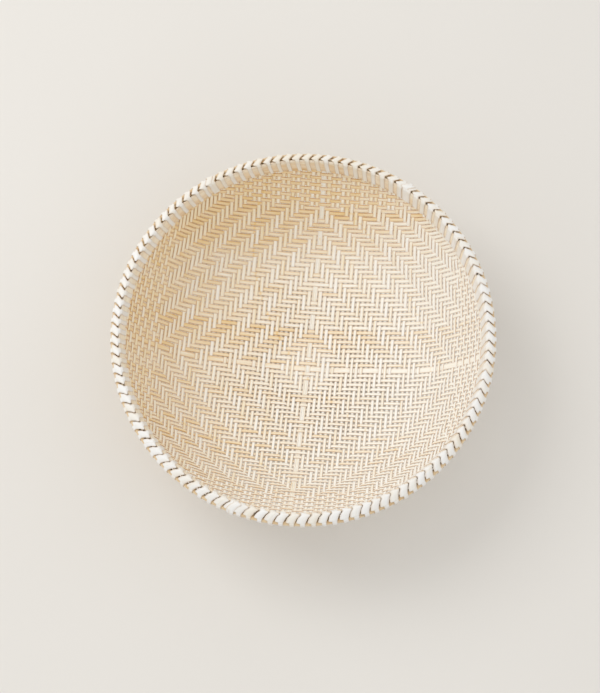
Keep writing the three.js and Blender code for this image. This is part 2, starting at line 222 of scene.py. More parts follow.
def march(row, column, row_steps, column_steps):
    """A quarter of the net: each crossing lies a pitch from both neighbours nearer the centre."""
    net = np.zeros((len(row), len(column), 2))
    net[:, 0] = row
    net[0, :] = column
    for total in range(2, len(row) + len(column) - 1):
        i = np.arange(max(1, total - len(column) + 1), min(len(row), total))
        j = total - i
        first, second = net[i - 1, j], net[i, j - 1]
        first_point, second_point = on_wall(first), on_wall(second)
        spot = first + second - net[i - 1, j - 1]

        def miss(at):
            point = on_wall(at)
            a = ((point - first_point) ** 2).sum(-1) - row_steps[i - 1] ** 2
            b = ((point - second_point) ** 2).sum(-1) - column_steps[j - 1] ** 2
            return np.stack([a, b], -1)

        for _ in range(SOLVER_ROUNDS):
            now = miss(spot)
            dx = (miss(spot + [SOLVER_NUDGE, 0]) - now) / SOLVER_NUDGE
            dy = (miss(spot + [0, SOLVER_NUDGE]) - now) / SOLVER_NUDGE
            det = dx[:, 0] * dy[:, 1] - dy[:, 0] * dx[:, 1]
            det = np.where(np.abs(det) < LEAST_DETERMINANT, LEAST_DETERMINANT, det)
            step_x = (now[:, 0] * dy[:, 1] - dy[:, 0] * now[:, 1]) / det
            step_y = (dx[:, 0] * now[:, 1] - now[:, 0] * dx[:, 1]) / det
            step = np.stack([step_x, step_y], -1)
            size = np.linalg.norm(step, axis=-1, keepdims=True)
            spot = spot - step * np.minimum(1, SOLVER_STEP / np.maximum(size, TINY))
        net[i, j] = spot
    return net


def turned(spots):
    """Spots turned by the angle at which the mat lies in the bowl."""
    c, s = cos(WEAVE_TURN), sin(WEAVE_TURN)
    x, y = spots[..., 0], spots[..., 1]
    return np.stack([x * c - y * s, x * s + y * c], -1)


def pitches(count, pitch, wide):
    """Steps from the centre outwards, the first one from the wide strip to its neighbour."""
    steps = np.full(count, pitch)
    steps[0] = (wide + pitch) / 2
    return steps


def whole_net():
    """The spots of all crossings, columns from left to right and rows from top to bottom."""
    columns, rows = 2 * COLUMNS_EACH_WAY + 1, ROWS_UP + ROWS_DOWN + 1
    net = np.full((columns, rows, 2), np.nan)
    across = pitches(COLUMNS_EACH_WAY, COLUMN_PITCH, WIDE_COLUMN)
    for side in (-1, 1):
        for way, count in ((1, ROWS_UP), (-1, ROWS_DOWN)):
            down = pitches(count, ROW_PITCH, WIDE_ROW)
            row = centre_line(running_total(across), True, side)
            column = centre_line(running_total(down), False, way)
            i = COLUMNS_EACH_WAY + side * np.arange(COLUMNS_EACH_WAY + 1)
            j = ROWS_UP - way * np.arange(count + 1)
            net[np.ix_(i, j)] = march(row, column, across, down)
    return turned(net)


NET = whole_net()
COLUMN = np.arange(-COLUMNS_EACH_WAY, COLUMNS_EACH_WAY + 1)
ROW = np.arange(-ROWS_UP, ROWS_DOWN + 1)


def weft_is_over():
    """True where the strip across the picture lies on top.

    That is a twill of diamonds, with plain bands of pairs round it.
    """
    i, r = np.meshgrid(COLUMN, ROW, indexing="ij")
    over = (TWILL_PHASE - np.abs(i) - np.abs(r)) % TWILL_REPEAT < TWILL_FLOAT
    over[(i == 0) & (r == 0)] = False
    top, bottom = r < -TWILL_TOP_ROW, r > TWILL_BOTTOM_ROW
    left, right = i < -TWILL_COLUMNS, i > TWILL_COLUMNS
    over = np.where(top, ((i // 2) - r) % 2 == 0, over)
    over = np.where(bottom, (((i + 1) // 2) + r) % 2 == 0, over)
    over = np.where(left & ~top & ~bottom, ((r // 2) + i) % 2 == 0, over)
    over = np.where(right & ~top & ~bottom, (((r + 1) // 2) - i) % 2 == 0, over)
    return over


OVER = weft_is_over()


def crossing_sines():
    """The sine of the angle at which the strips cross, which narrows the room for them."""
    point = on_wall(NET)
    a, b = unit(np.gradient(point, axis=0)), unit(np.gradient(point, axis=1))
    return np.sqrt(np.clip(1 - (a * b).sum(-1) ** 2, LEAST_SINE_SQUARED, 1))


SINE = crossing_sines()


# ---- objects, and meshes from swept sections

SHARP_EDGE = radians(38)


def add_object(name, data):
    obj = bpy.data.objects.new(name, data)
    bpy.context.scene.collection.objects.link(obj)
    return obj


def set_pose(obj, axes, place):
    """Puts an object at a place, with its own axes as the columns given."""
    rows = [[*row, p] for row, p in zip(np.stack(axes, -1), place)]
    obj.matrix_world = Matrix(rows + [[0, 0, 0, 1]])


class Sweep:
    """Collects swept bodies into the arrays of one mesh."""

    def __init__(self):
        self.points, self.loops, self.sizes = [], [], []
        self.uvs, self.tones, self.seeds = [], [], []
        self.count = 0

    def add(self, stations, u, v, tone, seed):
        """stations[k, p] is point p of section k; u and v are each point's place on the strip."""
        n, m = stations.shape[:2]
        k = np.arange(n - 1)[:, None]
        p = np.arange(m)[None, :]
        a, b = k * m + p, k * m + (p + 1) % m
        quads = np.stack([a, b, b + m, a + m], -1).reshape(-1, 4)
        self.points.append(stations.reshape(-1, 3))
        self.loops.append((quads + self.count).ravel())
        self.sizes.append(np.full(len(quads), 4))
        for end in (np.arange(m)[::-1], (n - 1) * m + np.arange(m)):
            self.loops.append(end + self.count)
            self.sizes.append(np.array([m]))
        u, v = np.broadcast_to(u, (n, m)), np.broadcast_to(v, (n, m))
        self.uvs.append(np.stack([u.ravel(), v.ravel()], -1))
        self.tones.append(np.broadcast_to(tone, (n, m)).ravel().astype(float))
        self.seeds.append(np.full(n * m, float(seed)))
        self.count += n * m

    def piece(self, name, material, slot, replaces):
        """Makes the mesh, and says what it rides on and stands for."""
        points = np.concatenate(self.points) * METRES
        loops = np.concatenate(self.loops)
        sizes = np.concatenate(self.sizes)
        mesh = bpy.data.meshes.new(name)
        mesh.vertices.add(len(points))
        mesh.vertices.foreach_set("co", points.ravel())
        mesh.loops.add(len(loops))
        mesh.loops.foreach_set("vertex_index", loops)
        mesh.polygons.add(len(sizes))
        mesh.polygons.foreach_set("loop_start", running_total(sizes)[:-1])
        mesh.polygons.foreach_set("use_smooth", np.ones(len(sizes), bool))
        mesh.update(calc_edges=True)
        layer = mesh.uv_layers.new(name="strip")
        layer.data.foreach_set("uv", np.concatenate(self.uvs)[loops].ravel())
        for label, values in (("tone", self.tones), ("seed", self.seeds)):
            attribute = mesh.attributes.new(label, "FLOAT", "POINT")
            attribute.data.foreach_set("value", np.concatenate(values))
        mesh.set_sharp_from_angle(angle=SHARP_EDGE)
        mesh.validate()
        mesh.materials.append(material)
        obj = add_object(name, mesh)
        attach(obj, "root")
        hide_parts(*replaces)


# ---- split bamboo, with fibres that run along each strip

# painted shade: the ochre of the gaps between strips, painted on each strip's sides
SIDE_SHADE_COLOUR = "C48A3C"
# shares of a strip's half width at which the painted shade of its edge and of its sides begin
EDGE_SHADE_START = 0.56
SIDE_SHADE_START = 0.96
SIDE_SHADE_SHARPNESS = 25.0
# the painted edge shade is stronger on deep strips and weaker on pale ones, where light falls
EDGE_SHADE_BY_TONE, EDGE_SHADE_LEAST = 0.6, 0.48
# how far fibres, clouds and the marks of the culm's nodes darken a strip
FIBRE_CONTRAST = 1.4
CLOUD_CONTRAST = 1.0
MARK_DEPTH = 0.45
MARK_RELIEF = 0.6
# the marks lie this far apart along a strip, in metres, and reach this far to each side
MARK_SPACING = 0.27
MARK_REACH = 0.0014
VEIN_START, VEIN_SHARPNESS, VEIN_STRENGTH = 0.60, 4.0, 0.5
VEIN_FIBRES = 0.55
# how far the patterns shift from seed to seed
NOISE_SHIFT = 7.31
MARK_SHIFT = 0.617
NOISE_ROUGHNESS = 0.6
SMOOTHEST, ROUGHNESS_BY_FIBRE = 0.35, 0.3
BAMBOO_SHADER = {
    "Specular IOR Level": 0.42,
    "Sheen Weight": 0.08,
    "Sheen Roughness": 0.45,
}
RELIEF_STRENGTH = 0.35
RELIEF_DISTANCE = 0.00012


def srgb(text):
    """A colour as written in hex, in linear values."""
    value = np.array([int(text[k:k + 2], 16) for k in (0, 2, 4)]) / 255
    linear = np.where(value <= 0.04045, value / 12.92, ((value + 0.055) / 1.055) ** 2.4)
    return (*linear, 1.0)


def new_material(name):
    material = bpy.data.materials.new(name)
    material.use_nodes = True
    return material, material.node_tree, material.node_tree.nodes["Principled BSDF"]


def bamboo(name, pale, deep, vein_and_shade, fibres, edge, spread):
    """A split bamboo look: three colours, fibres across half a strip, painted edge shade, tones.
    """
    material, tree, shader = new_material(name)

    def node(kind, **values):
        made = tree.nodes.new(kind)
        for key, value in values.items():
            setattr(made, key, value)
        return made

    def feed(socket, value):
        if isinstance(value, bpy.types.NodeSocket):
            tree.links.new(value, socket)
        else:
            socket.default_value = value

    def calc(operation, *values, clamp=False):
        made = node("ShaderNodeMath", operation=operation, use_clamp=clamp)
        for socket, value in zip(made.inputs, values):
            feed(socket, value)
        return made.outputs[0]

    def plus(a, b, clamp=False):
        return calc("ADD", a, b, clamp=clamp)

    def minus(a, b, clamp=False):
        return calc("SUBTRACT", a, b, clamp=clamp)

    def times(a, b, clamp=False):
        return calc("MULTIPLY", a, b, clamp=clamp)

    def mix(factor, a, b):
        made = node("ShaderNodeMix", data_type="RGBA")
        for key, value in (("Factor", factor), ("A", a), ("B", b)):
            feed(made.inputs[key], value)
        return made.outputs["Result"]

    place = node("ShaderNodeUVMap", uv_map="strip")
    split = node("ShaderNodeSeparateXYZ")
    feed(split.inputs[0], place.outputs[0])
    along, across = split.outputs[0], split.outputs[1]
    seed = node("ShaderNodeAttribute", attribute_name="seed").outputs["Fac"]
    tone = node("ShaderNodeAttribute", attribute_name="tone").outputs["Fac"]

    def noise(per_metre, per_half_width, detail, shift):
        where = node("ShaderNodeCombineXYZ")
        feed(where.inputs[0], times(along, per_metre))
        feed(where.inputs[1], times(across, per_half_width))
        feed(where.inputs[2], plus(times(seed, NOISE_SHIFT), shift))
        made = node("ShaderNodeTexNoise")
        made.inputs["Scale"].default_value = 1.0
        made.inputs["Detail"].default_value = detail
        made.inputs["Roughness"].default_value = NOISE_ROUGHNESS
        feed(made.inputs["Vector"], where.outputs[0])
        return made.outputs["Fac"]

    fibre = noise(per_metre=70.0, per_half_width=fibres, detail=4.0, shift=0.0)
    cloud = noise(per_metre=45.0, per_half_width=0.9, detail=2.0, shift=3.7)
    vein = noise(per_metre=28.0, per_half_width=fibres * VEIN_FIBRES, detail=3.0, shift=9.1)

    side = calc("ABSOLUTE", across)
    # painted shade along each strip's edges, as the gaps between strips lie in shade
    rim = times(minus(side, EDGE_SHADE_START, True), edge / (1 - EDGE_SHADE_START))
    rim = times(rim, plus(times(tone, EDGE_SHADE_BY_TONE), EDGE_SHADE_LEAST), True)
    mark_place = calc("FRACT", plus(times(along, 1 / MARK_SPACING), times(seed, MARK_SHIFT)))
    from_mark = calc("ABSOLUTE", minus(mark_place, 0.5))
    mark = minus(1.0, times(from_mark, MARK_SPACING / MARK_REACH), True)

    depth = times(tone, spread)
    depth = plus(depth, times(minus(fibre, 0.5), FIBRE_CONTRAST))
    depth = plus(depth, times(minus(cloud, 0.5), CLOUD_CONTRAST))
    depth = plus(depth, times(mark, MARK_DEPTH), True)
    vein_mask = times(minus(vein, VEIN_START, True), VEIN_SHARPNESS, True)
    # painted shade on each strip's sides, where they face the gaps between strips
    side_shade = times(minus(side, SIDE_SHADE_START, True), SIDE_SHADE_SHARPNESS)

    body = mix(depth, srgb(pale), srgb(deep))
    # grain veins and the painted edge shade share one colour
    veined = mix(plus(times(vein_mask, VEIN_STRENGTH), rim, True), body, srgb(vein_and_shade))
    sided = mix(times(side_shade, edge), veined, srgb(SIDE_SHADE_COLOUR))
    feed(shader.inputs["Base Color"], sided)
    feed(shader.inputs["Roughness"], plus(times(fibre, ROUGHNESS_BY_FIBRE), SMOOTHEST))
    for key, value in BAMBOO_SHADER.items():
        shader.inputs[key].default_value = value

    relief = node("ShaderNodeBump")
    relief.inputs["Strength"].default_value = RELIEF_STRENGTH
    relief.inputs["Distance"].default_value = RELIEF_DISTANCE
    feed(relief.inputs["Height"], minus(fibre, times(mark, MARK_RELIEF)))
    feed(shader.inputs["Normal"], relief.outputs[0])
    return material


# pale, deep, and vein and edge-shade colours, fibres, strength of painted edge shade, tone spread
WARP_LOOK = bamboo("ivory_bamboo", "FBFAF5", "F4DFAF", "C88E3F", 9, 0.62, 0.6)
WEFT_LOOK = bamboo("cream_bamboo", "FBF8EE", "F0D092", "C68538", 9, 0.68, 0.7)
INNER_HOOP_LOOK = bamboo("pale_hoop_bamboo", "FAF3E2", "DDB068", "B98546", 16, 0.2, 0.75)
OUTER_HOOP_LOOK = bamboo("tan_hoop_bamboo", "F2DDB6", "C99A5C", "98652C", 16, 0.2, 0.55)
LASHING_LOOK = bamboo("white_bamboo", "EFEEEC", "EBE1CD", "C4A074", 10, 0.45, 0.7)


# ---- the woven strips

STRIP_WIDTH = 2.62
STRIP_THICKNESS = 0.5
WIDE_STRIP_WIDTH = 4.4
WIDTH_SPREAD, WIDTH_LIMIT = 0.045, 0.1
# the narrow strips taper towards the lower right, within these shares of their width
STRIP_TAPER = 0.24
TAPER_REACH = 110.0
TAPER_SIDEWAYS = 0.5
WIDEST, NARROWEST = 1.18, 0.84
MOST_OF_ROOM = 0.93
# how a strip's width wanders: share of the width, length of a wave over 2 pi, shift per seed
WIDTH_WAVES = ((0.035, 17, 1.7), (0.025, 5.3, 4.1))
# the wide warp is split into slivers side by side: place and width, as shares of the half width
SLIVERS = ((-0.69, 0.3), (0.0, 0.36), (0.7, 0.29))
WHOLE_STRIP = ((0.0, 1.0),)
# strips end just below the lip, and one that would have fewer crossings than this is left out
CUT_BELOW_LIP = 0.9
STRIP_END = LIP - CUT_BELOW_LIP
LEAST_CROSSINGS = 3

# a strip's section, in half widths and half thicknesses, and its stations round each crossing
STRIP_SECTION = np.array([(-1, -0.9), (1, -0.9), (1, 0.3), (0.72, 1), (-0.72, 1), (-1, 0.3)])
CROSSING_STATIONS = np.array([-1 / 3, 0, 1 / 3])
WEAVE_LIFT = 0.28
FLOAT_CROWN = 0.12
FLOAT_SIDE_LIFT = WEAVE_LIFT + FLOAT_CROWN * 0.6
DIVE_SIDE_LIFT = WEAVE_LIFT * 0.9

# tones go from 0, pale, to 1, deep: strips become paler over these lengths to the right
# this fade is painted light and shade: paler where light falls, deeper where shade falls
WARP_FADE = 360.0
WEFT_FADE = 270.0
WIDE_WEFT_FADE = 200.0
FADE_DOWNWARDS = 0.5
# painted shade: strips near the top, on the shaded back wall, are deeper in tone
BACK_TONE, BACK_START, BACK_REACH = 0.5, 90, 50
LOWEST_TONE, HIGHEST_TONE = -0.4, 1.1
LEAST_TONE, TONE_SPREAD = 0.06, 0.74
TONE_SHAPE = (1.2, 1.6)
# painted shade: the left and top bands lie on the shaded walls and are deeper in tone
BAND_SHADE_TONE = 0.08
WIDE_WARP_TONE, WIDE_WARP_SEED = 0.3, 0.5
WIDE_WEFT_TONE, WIDE_WEFT_SEED = 0.25, 0.7
FIRST_WARP_SEED, FIRST_WEFT_SEED = 1, 201
PLACE_PER_SEED = 0.37
SEED_PER_SLIVER = 0.31

# each piece's look, slot and the node that it stands for
STRIP_PIECES = {
    "narrow_warp_strips": (WARP_LOOK, "warp_bamboo", "woven_bowl"),
    "narrow_weft_strips": (WEFT_LOOK, "weft_bamboo", "woven_bowl"),
    "left_band_strips": (WARP_LOOK, "warp_bamboo", "woven_bowl"),
    "right_band_strips": (WARP_LOOK, "warp_bamboo", "woven_bowl"),
    "top_band_strips": (WEFT_LOOK, "weft_bamboo", "woven_bowl"),
    "bottom_band_strips": (WEFT_LOOK, "weft_bamboo", "woven_bowl"),
    "wide_center_warp_strip": (WARP_LOOK, "warp_bamboo", "wide_center_warp"),
    "wide_center_weft_strip": (WEFT_LOOK, "weft_bamboo", "wide_center_weft"),
}


def lifts(top):
    """How far a strip's middle lies off the wall just before, at and just after each crossing."""
    before = np.concatenate([top[:1], top[:-1]])
    after = np.concatenate([top[1:], top[-1:]])
    same_before, same_after = top == before, top == after
    lift = np.stack([
        np.where(same_before, FLOAT_SIDE_LIFT, DIVE_SIDE_LIFT),
        WEAVE_LIFT + FLOAT_CROWN * 0.5 * (same_before.astype(float) + same_after),
        np.where(same_after, FLOAT_SIDE_LIFT, DIVE_SIDE_LIFT),
    ], -1)
    return (lift * top[:, None]).ravel()


def cut_below_lip(line):
    """Moves the first point past each end of a strip onto the end, and says which points stay."""
    reach = reach_of(line)
    inside = np.flatnonzero(reach < STRIP_END)
    low, high = inside[0], inside[-1]
    kept = list(range(low, high + 1))
    for end, past in ((low, low - 1), (high, high + 1)):
        if 0 <= past < len(line):
            share = (STRIP_END - reach[end]) / (reach[past] - reach[end])
            line[past] = line[end] + (line[past] - line[end]) * share
            kept.append(past)
    return sorted(kept)


def lay_strip(sweep, crossings, pitch, width, tone, seed, slivers=WHOLE_STRIP):
    """A strip through its crossings, which are spots, 1 where it lies on top or -1, and sines."""
    spots, top, sines = crossings
    within = np.flatnonzero(reach_of(spots) < STRIP_END)
    if len(within) < LEAST_CROSSINGS:
        return
    k = np.arange(max(within[0] - 1, 0), min(within[-1] + 1, len(spots) - 1) + 1)
    at = (k[:, None] + CROSSING_STATIONS).ravel().clip(0, len(spots) - 1)
    line = interp_rows(at, spots)
    kept = cut_below_lip(line)
    line = line[kept]
    lift = lifts(top[k])[kept]
    room = interp_rows(at, sines[:, None])[kept, 0] * pitch

    flat, normal = on_wall(line), inward(line)
    middle = flat + normal * lift[:, None]
    side = np.cross(unit(np.gradient(flat, axis=0)), normal)
    length = running_length(flat)
    waves = (size * np.sin(length / wave + seed * shift) for size, wave, shift in WIDTH_WAVES)
    wander = sum(waves, 1)
    taper = 1.0
    if width < WIDE_STRIP_WIDTH:
        fall = (TAPER_SIDEWAYS * line[:, 0] - line[:, 1]) / TAPER_REACH
        taper = np.clip(1 - STRIP_TAPER * fall, NARROWEST, WIDEST)
    wide = np.minimum(width * wander * taper, MOST_OF_ROOM * room)

    shade = tone(line)[:, None] if callable(tone) else tone
    place = (length * METRES + seed * PLACE_PER_SEED)[:, None]
    section_across, section_up = STRIP_SECTION.T[:, None, :]
    for number, (shift, share) in enumerate(slivers):
        half, offset = (wide * part / 2 for part in (share, shift))
        b = section_across * half[:, None] + offset[:, None]
        n = section_up * STRIP_THICKNESS / 2
        stations = middle[:, None] + side[:, None] * b[..., None] + normal[:, None] * n[..., None]
        v = section_across * share + shift
        sweep.add(stations, place, v, shade, seed + SEED_PER_SLIVER * number)


def paler(tone, fade):
    """A strip's tone: painted light paler to the lower right, painted shade tan near the top."""
    def shade(spots):
        x, y = spots[:, 0], spots[:, 1]
        back = BACK_TONE * np.clip((y - BACK_START) / BACK_REACH, 0, 1)
        return np.clip(tone - (x - FADE_DOWNWARDS * y) / fade + back, LOWEST_TONE, HIGHEST_TONE)
    return shade


def strip_values(count):
    """Width and tone of each strip: split by hand, so none is quite like its neighbour."""
    spread = rng.normal(0, WIDTH_SPREAD, count).clip(-WIDTH_LIMIT, WIDTH_LIMIT)
    tone = LEAST_TONE + TONE_SPREAD * rng.beta(*TONE_SHAPE, count)
    return STRIP_WIDTH * (1 + spread), tone


def weave():
    """Lays every strip of the mat into the piece that it belongs to."""
    warp_width, warp_tone = strip_values(len(COLUMN))
    weft_width, weft_tone = strip_values(len(ROW))
    sweeps = {name: Sweep() for name in STRIP_PIECES}

    for number, i in enumerate(COLUMN):
        crossings = NET[number], np.where(OVER[number], -1, 1), SINE[number]
        if i == 0:
            lay_strip(sweeps["wide_center_warp_strip"], crossings, WIDE_COLUMN, WIDE_STRIP_WIDTH,
                      WIDE_WARP_TONE, WIDE_WARP_SEED, SLIVERS)
            continue
        name, tone = "narrow_warp_strips", warp_tone[number]
        # painted shade: the left band, which lies in shade, is deeper in tone
        if i < -TWILL_COLUMNS:
            name, tone = "left_band_strips", tone + BAND_SHADE_TONE
        elif i > TWILL_COLUMNS:
            name = "right_band_strips"
        lay_strip(sweeps[name], crossings, COLUMN_PITCH, warp_width[number],
                  paler(tone, WARP_FADE), number + FIRST_WARP_SEED)

    for number, r in enumerate(ROW):
        crossings = NET[:, number], np.where(OVER[:, number], 1, -1), SINE[:, number]
        if r == 0:
            lay_strip(sweeps["wide_center_weft_strip"], crossings, WIDE_ROW, WIDE_STRIP_WIDTH,
                      paler(WIDE_WEFT_TONE, WIDE_WEFT_FADE), WIDE_WEFT_SEED)
            continue
        name, tone = "narrow_weft_strips", weft_tone[number]
        # painted shade: the top band, which lies in shade, is deeper in tone
        if r < -TWILL_TOP_ROW:
            name, tone = "top_band_strips", tone + BAND_SHADE_TONE
        elif r > TWILL_BOTTOM_ROW:
            name = "bottom_band_strips"
        lay_strip(sweeps[name], crossings, ROW_PITCH, weft_width[number],
                  paler(tone, WEFT_FADE), number + FIRST_WEFT_SEED)

    for name, (look, slot, node) in STRIP_PIECES.items():
        sweeps[name].piece(name, look, slot, [node])


# ---- hoops

HOOP_STATIONS = 360
SCARF_SLOPE = radians(12)
SCARF_GAP = 0.3
INNER_SCARF_TURN = radians(100)
OUTER_SCARF_TURN = radians(-80)
CORNER_STEPS = 3
CORNER_LIMIT = 0.45
# how a hoop wavers up and down: size, waves in a turn, shift per seed
HOOP_WAVES = ((0.06, 5, 1), (0.04, 13, 2))
# how far the hoops' faces stand proud of those in the part's source
INNER_HOOP_PROUD = 0.2
OUTER_HOOP_PROUD = 0.15
FACE = INNER_FACE - INNER_HOOP_PROUD
# tone of the inner hoop: everywhere, and painted shade at mid height at the back and to its foot
FRONT_TONE, HOOP_BACK_TONE, FOOT_TONE = 0.1, 0.45, 0.35
OUTER_TONE = 0.4

# corners of the hoops' sections: drop from the lip, out from the wall's middle, rounding
INNER_HOOP_SECTION = np.array([
    (2.4, -HOOP_SEAT, 0.4),
    (0.8, FACE + 0.9, 0.3),
    (0.9, FACE + 0.4, 0.3),
    (1.5, FACE, 0.5),
    (INNER_HOOP_HEIGHT, FACE, 0.8),
    (INNER_HOOP_HEIGHT, -HOOP_SEAT, 0.4),
])
OUTER_HOOP_SECTION = np.array([
    (OUTER_HOOP_DROP, HOOP_SEAT, 1.2),
    (OUTER_HOOP_DROP, HOOP_EDGE + OUTER_HOOP_PROUD, 1.6),
    (OUTER_MIDDLE, HOOP_BELLY + OUTER_HOOP_PROUD, 3.6),
    (OUTER_FOOT, HOOP_EDGE + OUTER_HOOP_PROUD, 1.6),
    (OUTER_FOOT, HOOP_SEAT, 0.4),
])


def rounded(section):
    """A closed outline with its corners rounded."""
    corners, radii = section[:, :2], section[:, 2]
    outline = []
    for k, corner in enumerate(corners):
        ends = []
        for way in (corners[k - 1] - corner, corners[(k + 1) % len(corners)] - corner):
            size = np.linalg.norm(way)
            ends.append(corner + way / size * min(radii[k], size * CORNER_LIMIT))
        for t in np.linspace(0, 1, CORNER_STEPS + 1):
            outline.append(bezier(ends[0], corner, ends[1], t))
    return np.array(outline)


def painted_shade_at_the_back(turn, height):
    """Tone of the inner hoop: pale, with painted shade that turns it tan to its foot at the back.
    """
    return FRONT_TONE + (HOOP_BACK_TONE + FOOT_TONE * height) * ((1 + np.sin(turn)) / 2) ** 4


def hoop(name, section, scarf_turn, look, node, seed, tone, stand_off=0.0):
    """A bent hoop whose ends meet in a long slanted cut."""
    outline = rounded(section)
    drop, out = outline[:, 0], outline[:, 1]
    mean_radius = wall(LIP - drop.mean())[0] + out.mean()
    lean = (out - out.min()) / tan(SCARF_SLOPE) / mean_radius
    gap = SCARF_GAP / sin(SCARF_SLOPE) / mean_radius
    turn = scarf_turn + np.linspace(gap / 2, 2 * pi - gap / 2, HOOP_STATIONS)[:, None] + lean
    waver = sum(size * np.sin(turn * waves + seed * shift) for size, waves, shift in HOOP_WAVES)
    points = rim_point(turn, drop + waver, out + stand_off * slack(turn))
    height = (drop - drop.min()) / (drop.max() - drop.min()) * 2 - 1
    shade = tone(turn, height)[:, ::-1] if callable(tone) else tone
    place = turn * mean_radius * METRES
    sweep = Sweep()
    # this outline runs the other way round from a strip's section, so its points are reversed
    sweep.add(points[:, ::-1], place[:, ::-1], height[::-1], shade, seed)
    sweep.piece(name, look, "hoop_bamboo", [node])


def hoops():
    """The inner hoop, and the outer one with its room for the lashing at the front."""
    hoop("inner_hoop_bent", INNER_HOOP_SECTION, INNER_SCARF_TURN, INNER_HOOP_LOOK,
         "inner_hoop", seed=3, tone=painted_shade_at_the_back)
    hoop("outer_hoop_bent", OUTER_HOOP_SECTION, OUTER_SCARF_TURN, OUTER_HOOP_LOOK,
         "outer_hoop", seed=5, tone=OUTER_TONE, stand_off=1.0)


# ---- the lashing, a flat strip wound round both hoops

WRAPS = 115
PITCH_TURN = 2 * pi / WRAPS
# turns are counted from the right, and wraps from the front
FRONT = -pi / 2
LASHING_BACK = 0.25
LASHING_THICKNESS = 0.5
LASHING_SECTION = np.array([
    (-1, 0), (1, 0), (1, 0.55), (0.88, 0.95), (0, 1.05), (-0.88, 0.95), (-1, 0.55),
])
# Corners of a wrap from the outer hoop over the rim and back under it: drop, out, the shares of
# the pitch at which its left and right edge lie, and how far each edge rises off what it lies on.
WRAP_CORNERS = np.array([
    (OUTER_MIDDLE, HOOP_BELLY, 0.24, -0.24, 0.0, 0.0),
    (OUTER_HOOP_DROP + 0.4, HOOP_EDGE, 0.23, -0.23, 0.0, 0.0),
    (OUTER_HOOP_DROP - 0.1, HOOP_EDGE - 1.1, 0.23, -0.25, 0.0, 0.0),
    (OUTER_HOOP_DROP - 0.4, HOOP_EDGE - 1.6, 0.26, -0.58, 0.0, 0.35),
    (0.0, HALF_BODY, 0.46, -0.42, 0.05, 0.1),
    (0.0, -1.5, 0.78, -0.12, 0.45, 0.0),
    (0.5, -2.3, 0.43, -0.15, 0.1, 0.0),
    (1.3, INNER_FACE - 0.1, 0.40, -0.16, 0.0, 0.0),
    (INNER_HOOP_HEIGHT * 0.5, INNER_FACE, 0.32, -0.25, 0.0, 0.0),
    (INNER_HOOP_HEIGHT, INNER_FACE, 0.12, -0.42, 0.0, 0.0),
    (INNER_HOOP_HEIGHT, HALF_BODY, 0.52, 0.02, 0.0, 0.0),
    (OUTER_FOOT, HOOP_EDGE, 1.18, 0.70, 0.0, 0.0),
])
ON_OUTER_HOOP = (0, 1, 2, 3, 11)
ON_INNER_FACE = (6, 7, 8, 9)
# how much wider a wrap is on the inside at the right, and how much narrower and deeper in tone
# it is at the back
# the deeper tone at the back is painted shade on wraps whose inner faces lie in shade
RIGHT_WRAP_SPREAD = 0.13
BACK_WRAP_SPREAD = 0.06
BACK_WRAP_SHADE = 0.6
# how the wraps differ: place and width as shares of the pitch, lift in millimetres, and tone
SHIFT_SPREAD, SHIFT_LIMIT = 0.02, 0.04
WRAP_WIDTH_SPREAD, WRAP_WIDTH_LIMIT = 0.04, 0.08
MOST_LIFT = 0.1
WRAP_TONE_SHAPE = (1.0, 3.0)
CORNER_ROUND = 0.9
LASHING_CORNER_LIMIT = 0.42
LASHING_CORNER_STEPS = (0, 0.33, 0.67, 1)
LONGEST_STEP = 2.2
# where one length of strip takes over from the one before, as shares of the way round
LASHING_JOIN_SHARES = (50 / 360, 117 / 360, 245 / 360)
JOIN_SHIFT = 0.3
JOIN_LIFT = 0.5
PLACE_PER_LENGTH = 0.53
SEED_PER_LENGTH = 3.3
LASHING_NODES = [f"lashing_strip_{k}" for k in range(1, 6)]


def round_corners(path, carried):
    """A path with its corners rounded, each new point with the values that its corner carries."""
    rows = [np.concatenate([path[0], carried[0]])]
    for k in range(1, len(path) - 1):
        here = path[k]
        ends = []
        for way in (path[k - 1] - here, path[k + 1] - here):
            share = min(CORNER_ROUND / np.linalg.norm(way), LASHING_CORNER_LIMIT)
            ends.append(here + way * share)
        for t in LASHING_CORNER_STEPS:
            rows.append(np.concatenate([bezier(ends[0], here, ends[1], t), carried[k]]))
    rows.append(np.concatenate([path[-1], carried[-1]]))
    return np.array(rows)


def wrap_edges(first, last, wraps):
    """Paths of the strip's left and right edge: drop, out, along; and both rises and the tone."""
    left, right, carried = [], [], []
    pitch = PITCH_TURN * RIM_RADIUS
    for k in range(first, last + 1):
        wrap = k % WRAPS
        begins = k == first
        centre = k + wraps["shift"][wrap] + (JOIN_SHIFT if begins else 0)
        turn = centre * PITCH_TURN + FRONT
        at_right, at_back = max(0.0, cos(turn)), max(0.0, sin(turn))
        # painted shade: wraps at the back are deeper in tone
        tone = wraps["tone"][wrap] + BACK_WRAP_SHADE * at_back ** 3
        for c, (drop, out, left_share, right_share, *rises) in enumerate(WRAP_CORNERS):
            spread = RIGHT_WRAP_SPREAD * at_right if c in ON_INNER_FACE else 0.0
            spread -= BACK_WRAP_SPREAD * at_back
            spread += (left_share - right_share) / 2 * wraps["width"][wrap]
            reach = out + (slack(turn) if c in ON_OUTER_HOOP else 0.0)
            left.append((drop, reach, (centre + left_share + spread) * pitch))
            right.append((drop, reach, (centre + right_share - spread) * pitch))
            lift = wraps["lift"][wrap]
            if begins and c not in ON_INNER_FACE:
                lift += JOIN_LIFT
            carried.append((lift + rises[0], lift + rises[1], tone))
    return [round_corners(np.array(edge), np.array(carried)) for edge in (left, right)]


